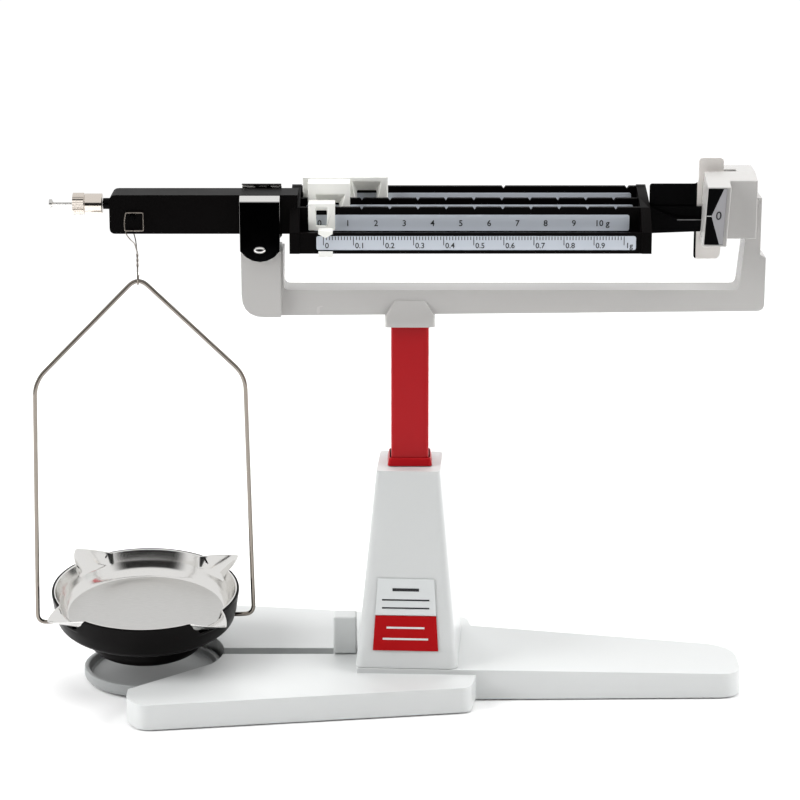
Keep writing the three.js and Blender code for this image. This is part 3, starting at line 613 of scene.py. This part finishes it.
# ---------------------------------------------------------------- turned pieces
def place_along_x(piece, x, z):
    """Turns a piece built about Z so that it points along +X, and moves it."""
    turn = Matrix.Rotation(math.radians(90), 4, "Y")
    piece.data.transform(Matrix.Translation(Vector((x, 0, z)) * MM) @ turn)


def make_tare(materials):
    low, high = box_mm("tare_rod")
    centre_z = (low.z + high.z) / 2
    rod = rounded_profile([(0, 0), (2.25, 0), (2.25, 1.5), (1.1, 1.9), (0.65, 2.4), (0.65, high.x - low.x),
                           (0, high.x - low.x)], 0.3)
    shapes = {"tare_rod": (rod, low.x, "steel")}
    for node, outer in (("tare_barrel", 5.25), ("tare_neck", 2.9)):
        low, high = box_mm(node)
        length = high.x - low.x
        ring = rounded_profile([(0.95, length / 2), (0.95, 0), (outer, 0), (outer, length), (0.95, length),
                                (0.95, length / 2)], 0.45)
        shapes[node] = (ring, low.x, "nickel" if node == "tare_barrel" else "black_paint")
    for node, (profile, x, look) in shapes.items():
        piece = piece_from(lathe(profile, 64), node + "_fine", materials[look], smooth=True)
        place_along_x(piece, x, centre_z)
        stand_for(piece, node)


def make_pads(materials):
    for node, slot in SLOTS.items():
        if slot == "rubber":
            low, high = box_mm(node)
            radius, height = (high.x - low.x) / 2, high.z
            profile = rounded_profile([(0, 0), (radius, 0), (radius, height), (0, height)], 0.5)
            pad = piece_from(lathe(profile, 48), node + "_fine", materials["rubber"], smooth=True)
            middle = Vector(((low.x + high.x) / 2, (low.y + high.y) / 2, 0))
            pad.data.transform(Matrix.Translation(middle * MM))
            stand_for(pad, node)


def make_tie_rod(materials):
    low, high = box_mm("tie_rod")
    profile = rounded_profile([(0, low.z), (3, low.z), (3, high.z), (0, high.z)], 0.5)
    rod = piece_from(lathe(profile, 32), "tie_rod_fine", materials["steel"], smooth=True)
    stand_for(rod, "tie_rod")


def make_dish(materials):
    low, high = box_mm("spill_dish")
    radius, centre_x = (high.y - low.y) / 2, low.x + (high.y - low.y) / 2
    profile = rounded_profile([(0, 0), (9, 0), (9, 1.2), (radius - 1.6, 1.2), (radius, 3), (radius, 8),
                               (radius - 2.6, 8), (radius - 3.4, 4), (0, 4)], 0.9)
    bm = lathe(profile, 160)
    tongue_end = high.x - centre_x
    add_box(bm, (radius - 1, -3.9, 1.2), (tongue_end, 3.9, 5))
    dish = piece_from(bm, "spill_dish_fine", materials["dish_paint"])
    dish.data.transform(Matrix.Translation(Vector((centre_x, 0, 0)) * MM))
    soften(dish, 0.3 * MM)
    stand_for(dish, "spill_dish")


# ---------------------------------------------------------------- hanging assembly
SPOUTS = (-146, -51, 35, 125)      # directions of the spouts about the pan, degrees
SPOUT_HALF_ANGLE = 14              # degrees
SPOUT_REACH = 0.31                 # how far the rim is drawn out, as a share of its radius
SPOUT_FOOT, SPOUT_HEIGHT = 8.6, 6.7        # where the wall starts to flare, and over what height, mm
NOTCH_DEPTH = 7.0                  # dip of the support's rim under a spout, mm
NOTCH_FOOT, NOTCH_HEIGHT = 6, 9    # where the wall starts to dip, and over what height, mm
BRUSHED_RADIUS = 41.9              # edge of the pan's brushed floor, mm
BAIL_WIRE = 1.15                   # radius, mm
HOOK_WIRE, STRAND = 0.36, 0.3      # radius of the stirrup's hook and loops, and of its strands, mm


def smooth_step(value):
    value = min(1.0, max(0.0, value))
    return value * value * (3 - 2 * value)


def spout_share(angle):
    """1 in the middle of a spout, 0 beside it."""
    offset = min(abs((angle - spout + 540) % 360 - 180) for spout in SPOUTS)
    return max(0.0, 1 - offset / SPOUT_HALF_ANGLE)


def make_pan(materials):
    profile = rounded_profile([(0, 0.6), (42.4, 0.6), (44.3, 1.9), (46.4, 5), (47.6, 9.3), (48.5, 13.7),
                               (49.1, 14.6), (48.9, 15.4), (48.2, 15.2), (46.4, 8.6), (45, 5.2), (43.2, 2.6),
                               (41.8, 1.4), (0, 1.4)], 1.2)
    bm = lathe(profile, 240)
    for v in bm.verts:
        height = v.co.z / MM
        flare = max(0.0, (height - SPOUT_FOOT) / SPOUT_HEIGHT) ** 0.75
        v.co.xy *= 1 + SPOUT_REACH * flare * spout_share(math.degrees(math.atan2(v.co.y, v.co.x)))
    pan = piece_from(bm, "pan_fine", materials["pan_polish"], smooth=True)
    pan.data.materials.append(materials["pan_floor"])
    for face in pan.data.polygons:
        inside = face.center.z > 1.0 * MM
        if inside and math.hypot(face.center.x, face.center.y) < BRUSHED_RADIUS * MM:
            face.material_index = 1
    pan.data.transform(PAN_FRAME)
    stand_for(pan, "pan")


def make_support(materials):
    profile = rounded_profile([(0, -17.4), (27.5, -17.2), (30.3, -16.2), (31.4, -13.5), (32.2, -3.4),
                               (44.8, -3.2), (47.4, -1), (48.9, 5), (50.2, 14.6), (49.9, 15.3), (49.5, 15),
                               (48.4, 9.9), (47, 4.6), (43.9, 0.5), (43.3, 0.2), (30, 0.2), (29.4, -13),
                               (28.4, -14.8), (26, -15.6), (0, -15.6)], 1.6)
    bm = lathe(profile, 240)
    for v in bm.verts:
        share = spout_share(math.degrees(math.atan2(v.co.y, v.co.x)))
        rise = smooth_step((v.co.z / MM - NOTCH_FOOT) / NOTCH_HEIGHT)
        v.co.z -= MM * NOTCH_DEPTH * smooth_step(share * 1.6) * rise
    support = piece_from(bm, "pan_support_fine", materials["black_plastic"], smooth=True)
    support.data.transform(PAN_FRAME)
    stand_for(support, "pan_support")
    slug = rounded_profile([(0, -15.2), (18, -15.2), (18, -10), (0, -10)], 0.5)
    ballast = piece_from(lathe(slug, 64), "ballast_fine", materials["dark_steel"], smooth=True)
    ballast.data.transform(PAN_FRAME)
    stand_for(ballast, "ballast")


def make_bail(materials):
    foot, inner, shoulder, foot_z, shoulder_z, apex_z = 58, 45.5, 55.2, PIVOT.z / MM, 166.8, 221.8
    corners = [(-inner, 0, foot_z), (-foot, 0, foot_z), (-shoulder, 0, shoulder_z), (0, 0, apex_z),
               (shoulder, 0, shoulder_z), (foot, 0, foot_z), (inner, 0, foot_z)]
    bm = bmesh.new()
    sweep(bm, wire_path(corners, [0, 5, 8, 7, 8, 5, 0]), BAIL_WIRE, 20)
    bail = piece_from(bm, "bail_fine", materials["wire"], smooth=True)
    bail.data.transform(HANGER)
    stand_for(bail, "bail")


def make_stirrup(materials):
    x, loop_y = PIVOT.x / MM, 11.3
    bm = bmesh.new()
    for side in (-1, 1):
        loop = wire_path([(x - 0.5, 0, 248.4), (x + 4.5, 0, 248.4), (x + 4.5, 0, 257.8), (x - 4.4, 0, 257.8),
                          (x - 5.3, 0, 253), (x - 5, 0, 248.4), (x - 1, 0, 248.4)],
                         [0, 0.8, 0.8, 0.8, 2, 0.8, 0])
        sweep(bm, [point + Vector((0, side * loop_y, 0)) for point in loop], HOOK_WIRE, 12)
        sweep(bm, smooth_path([(x - 4.8, side * loop_y, 248.4), (x - 4, side * loop_y, 246),
                               (x - 2.4, side * 8.5, 243), (x - 1, side * 3.5, 240),
                               (x - 0.3, side * 0.45, 236)] + twist(x, side)), STRAND, 10)
    sweep(bm, smooth_path([(x, -0.3, 227.5), (x, -1.1, 224.5), (x, -1.9, 221.5), (x, -1.85, 219.3),
                           (x, -1.1, 217.8), (x, 0, 217.4), (x, 1.1, 217.8), (x, 1.9, 219.3),
                           (x + 0.3, 2.0, 222)]), HOOK_WIRE, 12)
    stirrup = piece_from(bm, "stirrup_fine", materials["wire"], smooth=True)
    stand_for(stirrup, "stirrup")


def twist(x, side, top=234.5, bottom=226.5, turns=1.5):
    """The two strands wound round each other."""
    points = []
    for i in range(9):
        angle = math.pi / 2 * side + turns * 2 * math.pi * i / 8
        points.append((x + 0.32 * math.cos(angle), 0.32 * math.sin(angle), top + (bottom - top) * i / 8))
    return points


# ---------------------------------------------------------------- printed scales and marks
def tick(bm, node, x, top, length, width):
    low, _ = box_mm(node)
    add_box(bm, (x - width / 2, low.y - INK, top - length), (x + width / 2, low.y + 0.05, top))


def make_fine_scale(materials):
    node, zero, step = "scale_1g", -44.4, 1.539
    low, high = box_mm(node)
    bm = bmesh.new()
    for i in range(101):
        length = 4.6 if i % 10 == 0 else 1.9
        tick(bm, node, zero + i * step, high.z - 0.1, length, 0.4)
        if i % 10 == 0:
            text = {0: "0", 100: "1g"}.get(i, f"0.{i // 10}")
            add_text(bm, text, 2.8, on_front(node, zero + i * step + 0.8, low.z + 2.2), "LEFT")
    printed(bm, "figures_1g", materials["ink"], "beam")


def make_numbered_scale(node, labels, first, pitch, height, name, materials):
    low, high = box_mm(node)
    bm = bmesh.new()
    for i, label in enumerate(labels):
        add_text(bm, label, height, on_front(node, first + i * pitch, (low.z + high.z) / 2 - 0.3))
    printed(bm, name, materials["ink"], "beam")


def make_scales(materials):
    make_fine_scale(materials)
    ones = [str(i) for i in range(10)] + ["10 g"]
    tens = [str(10 * i) for i in range(10)] + ["100 g"]
    make_numbered_scale("scale_10g", ones, -46.7, 14.57, 3.1, "figures_10g", materials)
    make_numbered_scale("scale_100g", tens, -42.3, 14.57, 2.7, "figures_100g", materials)
    make_numbered_scale("scale_200g", ["0", "100", "200 g"], -22.6, 64.75, 2.7, "figures_200g", materials)


NOSE_LEAN = 0.056          # lean of the zero plate to +X, per millimetre of height
NOSE_MIDDLE = 258          # height at which the lean is nought


def make_zero_mark(materials):
    """Grey wedge that points at the index line, with a nought in it."""
    low, _ = box_mm("zero_plate")
    lean = Matrix.Identity(4)
    lean[0][2] = NOSE_LEAN
    place = Matrix.Translation(Vector((0, low.y - INK, NOSE_MIDDLE)) * MM) @ lean @ FRONT
    apex, left, right, upper, lower, level = 153.5, 158.8, 160.4, 14.8, -13.9, 0.8
    bm = bmesh.new()
    wedge = [(apex, level), (left - 0.2, lower), (right, lower), (right, upper), (left, upper)]
    add_prism(bm, wedge, INK, place)
    printed(bm, "zero_wedge", materials["wedge_grey"], "stand")
    bm = bmesh.new()
    add_text(bm, "0", 4.3, place @ Matrix.Translation(Vector((157.2, level, 1.5 * INK)) * MM))
    printed(bm, "zero_figure", materials["ink"], "stand")
    bm = bmesh.new()
    tip, half = 151.1, 0.15
    line = [(tip, level - half), (apex, level - half), (apex, level + half), (tip, level + half)]
    add_prism(bm, line, INK, place)
    printed(bm, "zero_line", materials["white_ink"], "stand")


def make_index_line(materials):
    low, high = box_mm("pointer")
    bm = bmesh.new()
    add_box(bm, (high.x - 13, low.y - INK, 252.9), (high.x - 0.2, low.y + 0.05, 253.25))
    printed(bm, "index_line", materials["pale_ink"], "beam")


def make_label_rules(materials):
    """Plain rules in place of any lettering on the two plates."""
    foot_y, foot_z = -35.8, 17.8           # foot of the sloping front, before the column's turn
    slope = math.atan2((71 - 39) / 2, 121.5 - foot_z)
    turn = Matrix.Rotation(math.radians(90) - slope, 4, "X")
    column_turn = Matrix.Rotation(math.radians(-3), 4, "Z")

    def rules(name, node, rows, look):
        low, high = box_mm(node)
        bm = bmesh.new()
        for share, width, thickness in rows:
            z = low.z + (high.z - low.z) * share
            y = foot_y + (z - foot_z) * math.tan(slope) - 0.4 / math.cos(slope)
            place = column_turn @ Matrix.Translation(Vector((-0.6, y - INK, z)) * MM) @ turn
            corners = [(-width / 2, -thickness / 2), (width / 2, -thickness / 2),
                       (width / 2, thickness / 2), (-width / 2, thickness / 2)]
            add_prism(bm, corners, INK * 2, place)
        printed(bm, name, materials[look], "stand")

    rules("rules_upper", "label_upper", [(0.70, 14, 1.6), (0.42, 25, 0.8), (0.2, 25, 0.8)],
          "ink")
    rules("rules_lower", "label_lower", [(0.66, 20, 1.0), (0.34, 24, 1.0)], "label_grey")


# ---------------------------------------------------------------- everything
def build():
    add_camera()
    add_floor()
    add_studio()
    materials = make_materials()
    make_castings(materials)
    make_weights(materials)
    make_tare(materials)
    make_pads(materials)
    make_tie_rod(materials)
    make_dish(materials)
    make_pan(materials)
    make_support(materials)
    make_bail(materials)
    make_stirrup(materials)
    make_scales(materials)
    make_zero_mark(materials)
    make_index_line(materials)
    make_label_rules(materials)


build()
